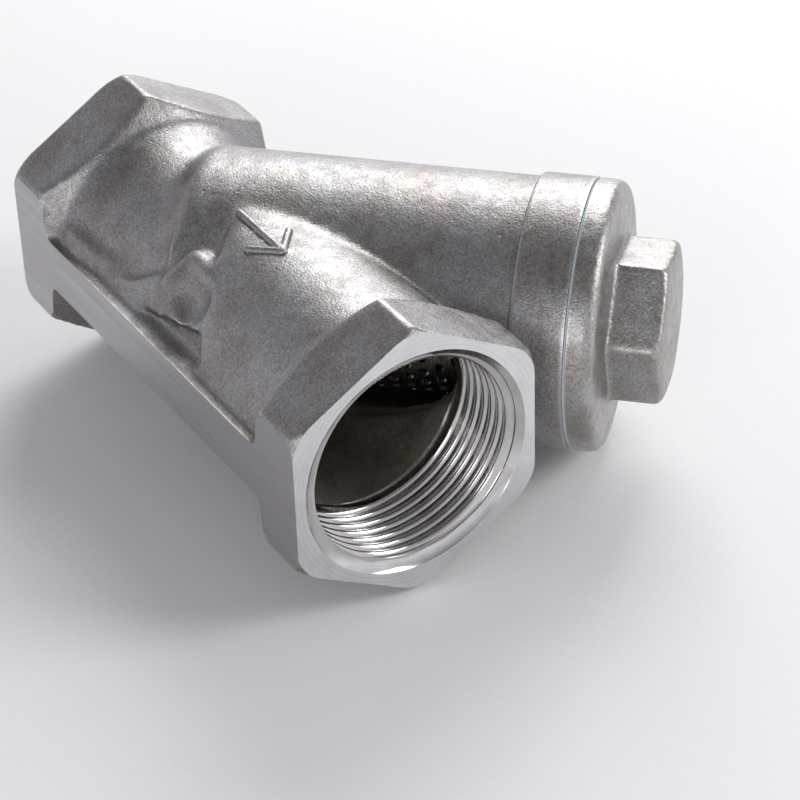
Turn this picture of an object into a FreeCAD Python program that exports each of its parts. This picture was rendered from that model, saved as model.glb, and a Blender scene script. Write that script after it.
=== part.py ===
import FreeCAD, Part
import Sketcher
import math
import os

# A screwed Y strainer in cast stainless steel, in millimetres.
# The run lies along +X from the inlet face at the origin. The branch leans from the run towards +Y,
# in the plane Z = 0, and is closed by a screwed cap with a solid hexagon head.

SIZES = {
    # the run and its two hexagonal ends
    "run_length": 105.0,
    "hex_flats": 48.0,
    "inlet_hex_width": 13.0,
    "outlet_hex_width": 13.4,
    "hex_face_radius": 26.4,
    "hex_trim_width": 1.5,
    "shoulder_width": 1.6,
    "neck_root_radius": 22.4,
    "inlet_neck_radius": 20.5,
    "inlet_neck_end": 27.0,
    "inlet_neck_stop": 37.0,
    "outlet_neck_radius": 22.0,
    "outlet_neck_start": 44.0,
    "outlet_passage_start": 50.0,
    # pipe threads G 1 1/4, as the wall at the thread's crests
    "pipe_crest_radius": 19.48,
    "pipe_thread_depth": 18.0,
    "mouth_radius": 22.0,
    # the branch, measured along its own axis from where it crosses the run
    "branch_crossing": 34.0,
    "branch_angle": 45.0,
    "branch_radius": 24.2,
    "branch_back": 5.0,
    "boss_radius": 25.0,
    "boss_start": 60.2,
    "boss_slope": 0.9,
    "boss_face": 70.2,
    # the ground rib that joins the two hexagons at the back
    "rib_width": 10.5,
    "rib_depth": 9.0,
    # the passages and the chamber
    "inlet_passage_radius": 16.5,
    "outlet_passage_radius": 18.2,
    "outlet_passage_mouth": 19.2,
    "partition_back": 4.0,
    "chamber_start": 1.0,
    "chamber_radius": 21.0,
    "seat_recess_radius": 17.25,
    "seat_recess_depth": 2.5,
    "seat_hole_radius": 15.6,
    "seat_hole_reach": 8.0,
    "cut_overlap": 1.0,
    # the screen
    "screen_radius": 17.2,
    "screen_wall": 0.8,
    "screen_play": 0.1,
    # the cap's thread, as plain running fits at its mean radius
    "cap_bore_radius": 21.45,
    "cap_bore_depth": 13.0,
    "spigot_radius": 21.4,
    "spigot_length": 10.0,
    "spigot_bevel": 1.2,
    "screen_recess_radius": 17.25,
    "screen_recess_depth": 7.0,
    "cap_hollow_radius": 14.5,
    "cap_hollow_depth": 3.5,
    # gasket and cap
    "gasket_outer_radius": 24.6,
    "gasket_inner_radius": 21.6,
    "gasket_thickness": 1.0,
    "flange_radius": 24.9,
    "flange_thickness": 4.5,
    "flange_round": 1.6,
    "head_flats": 26.6,
    "head_height": 10.4,
    "head_round": 1.6,
    "head_corner_round": 1.8,
    "head_turn": 19.0,
    # the raised flow arrow on the upper side of the outlet neck
    "arrow_length": 17.0,
    "arrow_width": 8.0,
    "arrow_shaft": 2.4,
    "arrow_height": 0.7,
    "arrow_start": 47.0,
    "arrow_offset": -2.0,
}

document = FreeCAD.newDocument("y_strainer")
sheet = document.addObject("Spreadsheet::Sheet", "sizes")
for row, (alias, value) in enumerate(SIZES.items(), start=1):
    sheet.set(f"A{row}", alias)
    sheet.set(f"B{row}", str(value))
    sheet.setAlias(f"B{row}", alias)
document.recompute()

ALONG_RUN = FreeCAD.Rotation(FreeCAD.Vector(0, 1, 0), 90)
BRANCH = FreeCAD.Vector(math.cos(math.radians(SIZES["branch_angle"])),
                        math.sin(math.radians(SIZES["branch_angle"])), 0)
ALONG_BRANCH = FreeCAD.Rotation(FreeCAD.Vector(0, 0, 1), SIZES["branch_angle"]) * ALONG_RUN
CROSSING = FreeCAD.Vector(SIZES["branch_crossing"], 0, 0)
HEX = "sizes.hex_flats / sqrt(3)"


def bind(item, bindings):
    """Bind each named property of an object to an expression of the sheet."""
    for name, expression in bindings.items():
        item.setExpression(name, expression)


def on_run(kind, name, start, bindings):
    """Add a primitive whose own +Z lies along the run, from the given expression's X."""
    item = document.addObject(kind, name)
    item.Placement = FreeCAD.Placement(FreeCAD.Vector(), ALONG_RUN)
    bind(item, bindings)
    item.setExpression("Placement.Base.x", start)
    return item


def put_on_branch(item, start):
    """Turn an object's own +Z along the branch and set it at the given distance along it."""
    angle = "sizes.branch_angle * 1 deg"
    item.Placement = FreeCAD.Placement(CROSSING, ALONG_BRANCH)
    item.setExpression("Placement.Base.x", f"sizes.branch_crossing + ({start}) * cos({angle})")
    item.setExpression("Placement.Base.y", f"({start}) * sin({angle})")


def on_branch(kind, name, start, bindings):
    """Add a primitive that stands along the branch, from the given distance along it."""
    item = document.addObject(kind, name)
    bind(item, bindings)
    put_on_branch(item, start)
    return item


def fuse(name, pieces):
    """Join several solids into one."""
    item = document.addObject("Part::MultiFuse", name)
    item.Shapes = pieces
    item.Refine = True
    return item


def cut(name, base, tool):
    """Take one solid away from another."""
    item = document.addObject("Part::Cut", name)
    item.Base = base
    item.Tool = tool
    item.Refine = True
    return item


def common(name, base, tool):
    """Keep what two solids share."""
    item = document.addObject("Part::Common", name)
    item.Base = base
    item.Tool = tool
    item.Refine = True
    return item


def cylinder(radius, height):
    """The bindings of a cylinder."""
    return {"Radius": radius, "Height": height}


def cone(first, second, height):
    """The bindings of a cone that goes from the first radius to the second."""
    return {"Radius1": first, "Radius2": second, "Height": height}


def hexagon_end(name, start, width):
    """A hexagon with a corner up, its six corners trimmed by a cone at both faces."""
    prism = on_run("Part::Prism", f"{name}_prism", start, {"Circumradius": HEX, "Height": width})
    prism.Polygon = 6
    outside = f"{HEX} + 0.3"
    trim = "sizes.hex_trim_width"
    face = "sizes.hex_face_radius"
    near = on_run("Part::Cone", f"{name}_near", start, cone(face, outside, trim))
    middle = on_run("Part::Cylinder", f"{name}_middle", f"{start} + {trim}",
                    cylinder(outside, f"{width} - 2 * {trim}"))
    far = on_run("Part::Cone", f"{name}_far", f"{start} + {width} - {trim}", cone(outside, face, trim))
    return common(name, prism, fuse(f"{name}_trim", [near, middle, far]))


def casting_outside():
    """The outer skin: two hexagons, two necks, the branch with its boss, the rib and the arrow."""
    outlet_hex = "sizes.run_length - sizes.outlet_hex_width"
    root = "sizes.neck_root_radius"
    neck = "sizes.inlet_neck_radius"
    flat = "sizes.hex_flats / 2 - 0.2"
    slope = "sizes.shoulder_width"
    waist = "sizes.inlet_neck_stop"
    outlet_start = "sizes.outlet_neck_start"
    inlet_start = "sizes.inlet_hex_width"
    pieces = [
        hexagon_end("inlet_hexagon", "0", "sizes.inlet_hex_width"),
        hexagon_end("outlet_hexagon", outlet_hex, "sizes.outlet_hex_width"),
        on_run("Part::Cone", "inlet_shoulder", inlet_start, cone(flat, root, slope)),
        on_run("Part::Cone", "inlet_taper", inlet_start,
               cone(root, neck, f"sizes.inlet_neck_end - {inlet_start}")),
        on_run("Part::Cylinder", "inlet_neck", "sizes.inlet_neck_end",
               cylinder(neck, f"{waist} - sizes.inlet_neck_end")),
        on_run("Part::Cone", "waist", waist,
               cone(neck, "sizes.outlet_neck_radius", f"{outlet_start} - {waist}")),
        on_run("Part::Cone", "outlet_neck", outlet_start,
               cone("sizes.outlet_neck_radius", root, f"{outlet_hex} - {outlet_start}")),
        on_run("Part::Cone", "outlet_shoulder", f"{outlet_hex} - {slope}", cone(root, flat, slope)),
        on_branch("Part::Cylinder", "branch_tube", "-sizes.branch_back",
                  cylinder("sizes.branch_radius", "sizes.boss_start + sizes.branch_back")),
        on_branch("Part::Cone", "boss_slope_ring", "sizes.boss_start",
                  cone("sizes.branch_radius", "sizes.boss_radius", "sizes.boss_slope")),
        on_branch("Part::Cylinder", "boss_ring", "sizes.boss_start + sizes.boss_slope",
                  cylinder("sizes.boss_radius", "sizes.boss_face - sizes.boss_start - sizes.boss_slope")),
        ground_rib(),
        flow_arrow(),
    ]
    return fuse("casting_outside", pieces)


def ground_rib():
    """The rib at the back, flush with the hexagons' flats."""
    rib = document.addObject("Part::Box", "ground_rib")
    bind(rib, {
        "Length": "sizes.run_length - sizes.inlet_hex_width",
        "Width": "sizes.rib_depth",
        "Height": "sizes.rib_width",
        "Placement.Base.x": "sizes.inlet_hex_width / 2",
        "Placement.Base.y": "-sizes.hex_flats / 2",
        "Placement.Base.z": "-sizes.rib_width / 2",
    })
    return rib


def flow_arrow():
    """A plain raised arrow on the upper side, which points with the flow and follows the neck."""
    shaft = document.addObject("Part::Box", "arrow_shaft")
    head = document.addObject("Part::Wedge", "arrow_head")
    tip = "sizes.arrow_width / 2"
    bind(shaft, {
        "Length": f"sizes.arrow_length - {tip}",
        "Width": "sizes.arrow_shaft",
        "Height": "sizes.hex_flats / 2",
        "Placement.Base.x": "sizes.arrow_start",
        "Placement.Base.y": "sizes.arrow_offset - sizes.arrow_shaft / 2",
        "Placement.Base.z": "sizes.arrow_shaft",
    })
    head.Placement = FreeCAD.Placement(FreeCAD.Vector(), FreeCAD.Rotation(FreeCAD.Vector(0, 0, 1), -90))
    bind(head, {
        "Xmin": "0",
        "Xmax": "sizes.arrow_width",
        "X2min": tip,
        "X2max": tip,
        "Ymin": "0",
        "Ymax": tip,
        "Zmin": "sizes.arrow_shaft",
        "Zmax": "sizes.hex_flats / 2 + sizes.arrow_shaft",
        "Z2min": "sizes.arrow_shaft",
        "Z2max": "sizes.hex_flats / 2 + sizes.arrow_shaft",
        "Placement.Base.x": f"sizes.arrow_start + sizes.arrow_length - {tip}",
        "Placement.Base.y": f"sizes.arrow_offset + {tip}",
    })
    skin = on_run("Part::Cylinder", "arrow_skin", "sizes.arrow_start - 1",
                  cylinder("sizes.outlet_neck_radius + sizes.arrow_height", "sizes.arrow_length + 2"))
    return common("flow_arrow", fuse("arrow_outline", [shaft, head]), skin)


def casting_inside():
    """The hollows: the two threaded ends, the passages, the seat, the chamber and the cap's bore."""
    depth = "sizes.pipe_thread_depth"
    crest = "sizes.pipe_crest_radius"
    mouth = "sizes.mouth_radius"
    bevel = f"({mouth} - {crest})"
    length = "sizes.run_length"
    overlap = "sizes.cut_overlap"
    thread_end = f"{length} - {depth}"
    crossing = "sizes.branch_crossing"
    inlet_passage = on_run("Part::Cylinder", "inlet_passage", f"{depth} - {overlap}",
                           cylinder("sizes.inlet_passage_radius", crossing))
    inlet_side = on_branch("Part::Cylinder", "inlet_side", f"-sizes.partition_back - {length}",
                           cylinder(length, length))
    recess_start = "sizes.chamber_start - sizes.seat_recess_depth"
    pieces = [
        on_run("Part::Cylinder", "inlet_thread", f"-{overlap}", cylinder(crest, f"{depth} + {overlap}")),
        on_run("Part::Cone", "inlet_mouth", "0", cone(mouth, crest, bevel)),
        on_run("Part::Cylinder", "outlet_thread", thread_end, cylinder(crest, f"{depth} + {overlap}")),
        on_run("Part::Cone", "outlet_mouth", f"{length} - {bevel}", cone(crest, mouth, bevel)),
        on_run("Part::Cone", "outlet_passage", "sizes.outlet_passage_start",
               cone("sizes.outlet_passage_radius", "sizes.outlet_passage_mouth",
                    f"{thread_end} - sizes.outlet_passage_start")),
        common("inlet_pocket", inlet_passage, inlet_side),
        on_branch("Part::Cylinder", "seat_hole", "-sizes.partition_back - sizes.seat_hole_reach",
                  cylinder("sizes.seat_hole_radius",
                           f"sizes.partition_back + sizes.seat_hole_reach + 2 * {overlap}")),
        on_branch("Part::Cylinder", "seat_recess", recess_start,
                  cylinder("sizes.seat_recess_radius", f"sizes.seat_recess_depth + {overlap}")),
        on_branch("Part::Cylinder", "chamber", "sizes.chamber_start",
                  cylinder("sizes.chamber_radius", "sizes.boss_face - sizes.chamber_start")),
        on_branch("Part::Cylinder", "cap_bore", "sizes.boss_face - sizes.cap_bore_depth",
                  cylinder("sizes.cap_bore_radius", f"sizes.cap_bore_depth + {overlap}")),
    ]
    return fuse("casting_inside", pieces)


def amount(expression):
    """The present value of an expression of the sheet."""
    return float(sheet.evalExpression(expression))


def turned(name, start, outline):
    """A PartDesign body revolved about the branch, from points of (radius, height) expressions."""
    body = document.addObject("PartDesign::Body", name)
    body.Label = name
    planes = {plane.Role: plane for plane in body.Origin.OriginFeatures}
    sketch = body.newObject("Sketcher::SketchObject", f"{name}_section")
    sketch.AttachmentSupport = (planes["XZ_Plane"], [""])
    sketch.MapMode = "FlatFace"
    count = len(outline)
    corners = [FreeCAD.Vector(amount(radius), amount(height), 0) for radius, height in outline]
    for corner in range(count):
        sketch.addGeometry(Part.LineSegment(corners[corner], corners[(corner + 1) % count]), False)
    for corner in range(count):
        following = (corner + 1) % count
        sketch.addConstraint(Sketcher.Constraint("Coincident", corner, 2, following, 1))
    for corner, (radius, height) in enumerate(outline):
        across = sketch.addConstraint(Sketcher.Constraint("DistanceX", corner, 1, amount(radius)))
        sketch.setExpression(f"Constraints[{across}]", radius)
        along = sketch.addConstraint(Sketcher.Constraint("DistanceY", corner, 1, amount(height)))
        sketch.setExpression(f"Constraints[{along}]", height)
    revolution = body.newObject("PartDesign::Revolution", f"{name}_turned")
    revolution.Profile = sketch
    revolution.ReferenceAxis = (sketch, ["V_Axis"])
    revolution.Angle = 360
    document.recompute()
    put_on_branch(body, start)
    return body


def cap_gasket():
    """The flat ring between the boss and the cap's flange."""
    inner = "sizes.gasket_inner_radius"
    outer = "sizes.gasket_outer_radius"
    top = "sizes.gasket_thickness"
    return turned("cap_gasket", "sizes.boss_face", [(inner, "0"), (outer, "0"), (outer, top), (inner, top)])


def strainer_screen():
    """The rolled screen, from the floor of the seat's recess to the floor of the cap's recess."""
    outer = "sizes.screen_radius"
    inner = "sizes.screen_radius - sizes.screen_wall"
    start = "sizes.chamber_start - sizes.seat_recess_depth"
    cap_floor = "sizes.boss_face - sizes.spigot_length + sizes.screen_recess_depth"
    top = f"{cap_floor} - sizes.screen_play - ({start})"
    return turned("strainer_screen", start, [(inner, "0"), (outer, "0"), (outer, top), (inner, top)])


def hexagon_sketch(body, name, flats, turn, height):
    """A hexagon of the given width across flats, turned by some degrees, at a height in its body."""
    planes = {plane.Role: plane for plane in body.Origin.OriginFeatures}
    sketch = body.newObject("Sketcher::SketchObject", name)
    sketch.AttachmentSupport = (planes["XY_Plane"], [""])
    sketch.MapMode = "FlatFace"
    sketch.setExpression("AttachmentOffset.Base.z", height)
    places = []
    for corner in range(6):
        angle = f"(60 * {corner} + {turn}) * 1 deg"
        places.append((f"{flats} / sqrt(3) * cos({angle})", f"{flats} / sqrt(3) * sin({angle})"))
    points = [FreeCAD.Vector(amount(across), amount(along), 0) for across, along in places]
    for corner in range(6):
        sketch.addGeometry(Part.LineSegment(points[corner], points[(corner + 1) % 6]), False)
    for corner in range(6):
        sketch.addConstraint(Sketcher.Constraint("Coincident", corner, 2, (corner + 1) % 6, 1))
    for corner, (across, along) in enumerate(places):
        first = sketch.addConstraint(Sketcher.Constraint("DistanceX", corner, 1, points[corner].x))
        sketch.setExpression(f"Constraints[{first}]", across)
        second = sketch.addConstraint(Sketcher.Constraint("DistanceY", corner, 1, points[corner].y))
        sketch.setExpression(f"Constraints[{second}]", along)
    return sketch


def rounded(body, name, radius, wanted):
    """Fillet the edges of a body's present tip that the given test picks."""
    base = body.Tip
    edges = [f"Edge{number}" for number, edge in enumerate(base.Shape.Edges, start=1) if wanted(edge)]
    fillet = body.newObject("PartDesign::Fillet", name)
    fillet.Base = (base, edges)
    fillet.setExpression("Radius", radius)
    document.recompute()
    return fillet


def screen_cap():
    """The cap: a hollow screwed spigot, a round flange and a solid hexagon head."""
    spigot = "sizes.spigot_radius"
    bevel = "sizes.spigot_bevel"
    flange = "sizes.flange_radius"
    thickness = "sizes.flange_thickness"
    end = "-sizes.spigot_length - sizes.gasket_thickness"
    recess = "sizes.screen_recess_radius"
    floor = f"{end} + sizes.screen_recess_depth"
    hollow = "sizes.cap_hollow_radius"
    roof = f"{floor} + sizes.cap_hollow_depth"
    cap = turned("screen_cap", "sizes.boss_face + sizes.gasket_thickness", [
        ("0", roof),
        (hollow, roof),
        (hollow, floor),
        (recess, floor),
        (recess, end),
        (f"{spigot} - {bevel}", end),
        (spigot, f"{end} + {bevel}"),
        (spigot, "0"),
        (flange, "0"),
        (flange, thickness),
        ("0", thickness),
    ])
    base = amount(thickness)
    rim = amount(flange)

    def outer_rim(edge):
        """Whether an edge is the rim of the flange's outer face."""
        box = edge.BoundBox
        return abs(box.ZMin - base) < 0.01 and abs(box.ZMax - base) < 0.01 and box.XMax > rim - 0.01

    rounded(cap, "flange_rounding", "sizes.flange_round", outer_rim)
    height = amount("sizes.head_height")
    sketch = hexagon_sketch(cap, "head_outline", "sizes.head_flats", "sizes.head_turn", thickness)
    head = cap.newObject("PartDesign::Pad", "head")
    head.Profile = sketch
    head.setExpression("Length", "sizes.head_height")
    document.recompute()
    top = base + height

    def head_corner(edge):
        """Whether an edge is one of the head's six upright corners."""
        box = edge.BoundBox
        return box.ZLength > height - 0.1 and len(edge.Vertexes) == 2 and box.ZMax > top - 0.1

    rounded(cap, "head_corner_rounding", "sizes.head_corner_round", head_corner)
    rounded(cap, "head_top_rounding", "sizes.head_round", lambda edge: edge.BoundBox.ZMin > top - 0.01)
    return cap


def check_and_write(parts):
    """Check every object of the document, then write each sub-part to its own file."""
    document.recompute()
    for item in document.Objects:
        if "Invalid" in item.State or "Error" in item.State:
            raise RuntimeError(f"{item.Name} is {item.State}")
    for part in parts:
        shape = part.Shape
        if shape.isNull() or not shape.isValid() or len(shape.Solids) != 1:
            raise RuntimeError(f"{part.Label} is not one valid solid")
    os.makedirs("parts", exist_ok=True)
    for part in parts:
        part.Shape.exportStep(f"parts/{part.Label}.step")
        print(part.Label, round(part.Shape.Volume), part.Shape.BoundBox)


strainer_body = cut("strainer_body", casting_outside(), casting_inside())
strainer_body.Label = "strainer_body"
check_and_write([strainer_body, strainer_screen(), cap_gasket(), screen_cap()])
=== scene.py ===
"""Visual model of a screwed Y strainer in cast stainless steel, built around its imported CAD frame.

The run lies along +X from the inlet face at the origin and the branch leans towards +Y. Every length in
the classes below is in millimetres and is turned into metres by one function where a mesh is made.
"""
import logging
import math
from dataclasses import dataclass
from enum import Enum
from typing import Callable, Iterable, Sequence

import bpy
from mathutils import Matrix, Vector

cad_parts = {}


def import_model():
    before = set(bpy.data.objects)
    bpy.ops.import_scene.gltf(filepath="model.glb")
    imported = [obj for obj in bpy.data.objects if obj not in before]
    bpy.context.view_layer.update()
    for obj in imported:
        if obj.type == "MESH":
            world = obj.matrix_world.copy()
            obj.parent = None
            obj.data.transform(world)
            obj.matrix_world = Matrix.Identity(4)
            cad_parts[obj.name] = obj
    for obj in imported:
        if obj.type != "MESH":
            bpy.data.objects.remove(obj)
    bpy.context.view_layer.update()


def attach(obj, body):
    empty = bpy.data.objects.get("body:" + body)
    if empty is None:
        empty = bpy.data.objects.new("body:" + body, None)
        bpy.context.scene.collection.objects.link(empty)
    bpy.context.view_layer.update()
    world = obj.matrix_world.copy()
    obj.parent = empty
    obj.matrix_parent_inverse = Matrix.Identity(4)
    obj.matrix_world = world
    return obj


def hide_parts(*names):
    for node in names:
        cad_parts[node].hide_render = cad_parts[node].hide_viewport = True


log = logging.getLogger("y_strainer")
Piece = bpy.types.Object
Tree = bpy.types.NodeTree
Socket = bpy.types.NodeSocket
Profile = Sequence[tuple[float, float]]

MM = 0.001  # one millimetre, in metres
SMOOTH_BELOW = math.radians(62.0)  # edges sharper than this are shaded as edges
WELD = 1e-6  # points nearer than this are one point, in metres
WIDE = 90.0  # the radius of a cutter that reaches past the whole part
BOTH_SIDES = (1.0, -1.0)  # over the rib and under it


class Join(Enum):
    """How one solid is combined with another."""

    ADD = "UNION"
    TAKE = "DIFFERENCE"
    SHARE = "INTERSECT"


# ---------------------------------------------------------------- the frame of the part


@dataclass(frozen=True)
class Axis:
    """A straight axis of the part: a point on it in millimetres and its direction."""

    origin: tuple[float, float, float]
    direction: tuple[float, float, float]

    def matrix(self, along: float) -> Matrix:
        """The placement that turns +Z onto the axis and moves it along.

        Args:
            along: distance from the axis's origin, in millimetres.

        Returns:
            The 4 by 4 matrix, in metres.
        """
        way = Vector(self.direction).normalized()
        side = Vector((0.0, 0.0, 1.0))
        across = way.cross(side).normalized()
        turn = Matrix((side, across, way)).transposed().to_4x4()
        return Matrix.Translation((Vector(self.origin) + way * along) * MM) @ turn

    def measure(self, point: Vector) -> tuple[float, float]:
        """How far along the axis and how far from it a point is.

        Args:
            point: a point in metres.

        Returns:
            The distance along the axis and the distance from it, in millimetres.
        """
        arm = point / MM - Vector(self.origin)
        way = Vector(self.direction).normalized()
        along = arm.dot(way)
        return along, (arm - way * along).length


BRANCH_ANGLE = math.radians(45.0)
RUN = Axis((0.0, 0.0, 0.0), (1.0, 0.0, 0.0))
BRANCH = Axis((34.0, 0.0, 0.0), (math.cos(BRANCH_ANGLE), math.sin(BRANCH_ANGLE), 0.0))


# ---------------------------------------------------------------- modelling helpers


def rest_selection() -> None:
    """Leave edit mode and deselect everything, so that an operator acts on one piece only."""
    if bpy.context.object and bpy.context.object.mode != "OBJECT":
        bpy.ops.object.mode_set(mode="OBJECT")
    bpy.ops.object.select_all(action="DESELECT")


def take_up(piece: Piece) -> None:
    """Select one piece and make it the active one.

    Args:
        piece: the object to work on.
    """
    rest_selection()
    piece.select_set(True)
    bpy.context.view_layer.objects.active = piece


def start_edit() -> None:
    """Go into edit mode with the whole piece selected."""
    bpy.ops.object.mode_set(mode="EDIT")
    bpy.ops.mesh.select_all(action="SELECT")


def end_edit() -> None:
    """Turn the faces of the piece in hand outwards and leave edit mode."""
    bpy.ops.mesh.select_all(action="SELECT")
    bpy.ops.mesh.normals_make_consistent(inside=False)
    bpy.ops.object.mode_set(mode="OBJECT")


def modify(piece: Piece, kind: str, **settings: object) -> None:
    """Add a modifier with its settings and apply it at once.

    Args:
        piece: the object that gets the modifier.
        kind: the modifier's type.
        **settings: the modifier's properties.
    """
    take_up(piece)
    modifier = piece.modifiers.new(kind.lower(), kind)
    for name, value in settings.items():
        setattr(modifier, name, value)
    bpy.ops.object.modifier_apply(modifier=modifier.name)


def combine(piece: Piece, tool: Piece, join: Join) -> Piece:
    """Add a solid to a piece, or cut it away, and delete the solid.

    Args:
        piece: the piece that is changed.
        tool: the solid that changes it.
        join: how the two are combined.

    Returns:
        The changed piece.
    """
    modify(piece, "BOOLEAN", operation=join.value, solver="MANIFOLD", material_mode="TRANSFER", object=tool)
    bpy.data.objects.remove(tool, do_unlink=True)
    return piece


def set_place(piece: Piece, matrix: Matrix) -> Piece:
    """Put a new solid in its place and keep that place in its mesh.

    Args:
        piece: the object, modelled about its own +Z.
        matrix: where it goes, in metres.

    Returns:
        The same object, at the origin.
    """
    take_up(piece)
    piece.matrix_world = matrix
    bpy.ops.object.transform_apply(location=True, rotation=True, scale=True)
    return piece


def turned(steps: Profile, matrix: Matrix, sides: int = 128,
           first: float = 0.0) -> Piece:
    """Turn a solid on its axis: a disc that is extruded and scaled step by step.

    Args:
        steps: (radius, height) in millimetres, from the lower end to the upper end.
        matrix: where the solid goes.
        sides: the number of sides; six of them make a hexagonal prism.
        first: the angle of the first corner from the solid's own +X, in degrees.

    Returns:
        The closed solid.
    """
    rest_selection()
    radius, height = steps[0]
    bpy.ops.mesh.primitive_circle_add(vertices=sides, radius=radius * MM, fill_type="NGON",
                                      location=(0.0, 0.0, 0.0), rotation=(0.0, 0.0, math.radians(first - 90.0)))
    bpy.ops.object.transform_apply(location=False, rotation=True, scale=False)
    piece = bpy.context.object
    start_edit()
    bpy.ops.transform.translate(value=(0.0, 0.0, height * MM))
    for next_radius, next_height in steps[1:]:
        lift = (0.0, 0.0, (next_height - height) * MM)
        bpy.ops.mesh.extrude_region_move(TRANSFORM_OT_translate={"value": lift})
        scale = next_radius / radius
        bpy.ops.transform.resize(value=(scale, scale, 1.0), center_override=(0.0, 0.0, 0.0))
        radius, height = next_radius, next_height
    end_edit()
    return set_place(piece, matrix)


def block(low: Sequence[float], high: Sequence[float]) -> Piece:
    """Make a rectangular solid between two corners, as rough stock for a boolean or a remesh.

    Args:
        low: the lowest corner, in millimetres.
        high: the highest corner, in millimetres.

    Returns:
        The solid.
    """
    rest_selection()
    middle = [(a + b) / 2.0 * MM for a, b in zip(low, high)]
    size = [(b - a) * MM for a, b in zip(low, high)]
    bpy.ops.mesh.primitive_cube_add(size=1.0, location=middle, scale=size)
    piece = bpy.context.object
    bpy.ops.object.transform_apply(location=True, rotation=True, scale=True)
    return piece


def prism(outline: Profile, depth: float, matrix: Matrix) -> Piece:
    """Extrude a flat outline into a solid.

    Args:
        outline: corners (x, y) in millimetres, anticlockwise.
        depth: how far it is extruded along +Z, in millimetres.
        matrix: where the solid goes.

    Returns:
        The solid.
    """
    mesh = bpy.data.meshes.new("outline")
    mesh.from_pydata([(x * MM, y * MM, 0.0) for x, y in outline], [], [list(range(len(outline)))])
    piece = bpy.data.objects.new("outline", mesh)
    bpy.context.collection.objects.link(piece)
    take_up(piece)
    start_edit()
    bpy.ops.mesh.extrude_region_move(TRANSFORM_OT_translate={"value": (0.0, 0.0, depth * MM)})
    end_edit()
    return set_place(piece, matrix)


def round_bar(foot: Vector, head: Vector, radius: float) -> Piece:
    """A straight bar with rounded ends.

    Args:
        foot: the middle of its first end, in millimetres.
        head: the middle of its last end, in millimetres.
        radius: its radius.

    Returns:
        The solid.
    """
    turn = (head - foot).to_track_quat("Z", "Y").to_matrix().to_4x4()
    length = (head - foot).length
    tip = [(0.4 * radius, -0.9 * radius), (0.9 * radius, -0.4 * radius), (radius, 0.0)]
    steps = tip + [(reach, length - rise) for reach, rise in reversed(tip)]
    return turned(steps, Matrix.Translation(foot * MM) @ turn, 20)


def gather(name: str, solids: Iterable[Piece]) -> Piece:
    """Join several overlapping solids into one object.

    Args:
        name: the object's name.
        solids: the solids.

    Returns:
        The joined object.
    """
    solids = list(solids)
    take_up(solids[0])
    for solid in solids:
        solid.select_set(True)
    bpy.ops.object.join()
    solids[0].name = name
    return solids[0]


def weigh(piece: Piece, name: str, rule: Callable[[Vector], float]) -> None:
    """Give every vertex of a piece a weight that a rule works out from its place.

    Args:
        piece: the object.
        name: the vertex group's name.
        rule: the weight, from 0 to 1, at a point in metres.
    """
    group = piece.vertex_groups.new(name=name)
    for vertex in piece.data.vertices:
        weight = rule(vertex.co)
        if weight > 0.0:
            group.add([vertex.index], min(weight, 1.0), "REPLACE")


def cast(piece: Piece, grain: float, rounding: int, thinning: float = 1.0, blend: int = 0,
         rule: Callable[[Vector], float] | None = None) -> Piece:
    """Melt a heap of solids into one casting with rounded edges and soft hollows.

    Args:
        piece: the heap of overlapping solids.
        grain: the size of the mesh's cells, in millimetres.
        rounding: how often every edge is smoothed.
        thinning: the share of the faces that is kept, most of them where the skin is curved.
        blend: how often the places that the rule picks are smoothed again.
        rule: where the casting has its large radii.

    Returns:
        The casting's skin.
    """
    modify(piece, "REMESH", mode="VOXEL", voxel_size=grain * MM, use_smooth_shade=True)
    modify(piece, "SMOOTH", factor=0.5, iterations=rounding)
    if rule is not None:
        weigh(piece, "blend", rule)
        modify(piece, "SMOOTH", factor=0.5, iterations=blend, vertex_group="blend")
        piece.vertex_groups.clear()
    if thinning < 1.0:
        modify(piece, "DECIMATE", ratio=thinning)
    return piece


def ease(low: float, high: float, value: float) -> float:
    """Rise smoothly from 0 to 1 between two values.

    Args:
        low: where the rise starts.
        high: where it ends; it may be the smaller of the two.
        value: the value.

    Returns:
        The eased share.
    """
    share = min(max((value - low) / (high - low), 0.0), 1.0)
    return share * share * (3.0 - 2.0 * share)


def face_off(piece: Piece, point: Sequence[float], normal: Sequence[float],
             finish: bpy.types.Material) -> None:
    """Machine a piece flat: cut off what lies beyond a plane, close the cut and give it its finish.

    Args:
        piece: the piece.
        point: a point of the plane, in millimetres.
        normal: the plane's outward normal.
        finish: the material of the machined face.
    """
    take_up(piece)
    start_edit()
    bpy.ops.mesh.bisect(plane_co=[value * MM for value in point], plane_no=normal, use_fill=True,
                        clear_outer=True, threshold=1e-7)
    bpy.ops.object.mode_set(mode="OBJECT")
    if finish.name not in piece.data.materials:
        piece.data.materials.append(finish)
    index = piece.data.materials.find(finish.name)
    for polygon in piece.data.polygons:
        height = (polygon.center / MM - Vector(point)).dot(Vector(normal))
        if abs(height) < 0.01 and polygon.normal.dot(Vector(normal)) > 0.999:
            polygon.material_index = index


def crisp_between_finishes(piece: Piece) -> None:
    """Mark every edge sharp where a machined surface meets another finish.

    Args:
        piece: the finished mesh.
    """
    finishes = {}
    for polygon in piece.data.polygons:
        for key in polygon.edge_keys:
            finishes.setdefault(key, set()).add(polygon.material_index)
    for edge in piece.data.edges:
        if len(finishes.get(edge.key, ())) > 1:
            edge.use_edge_sharp = True


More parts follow.
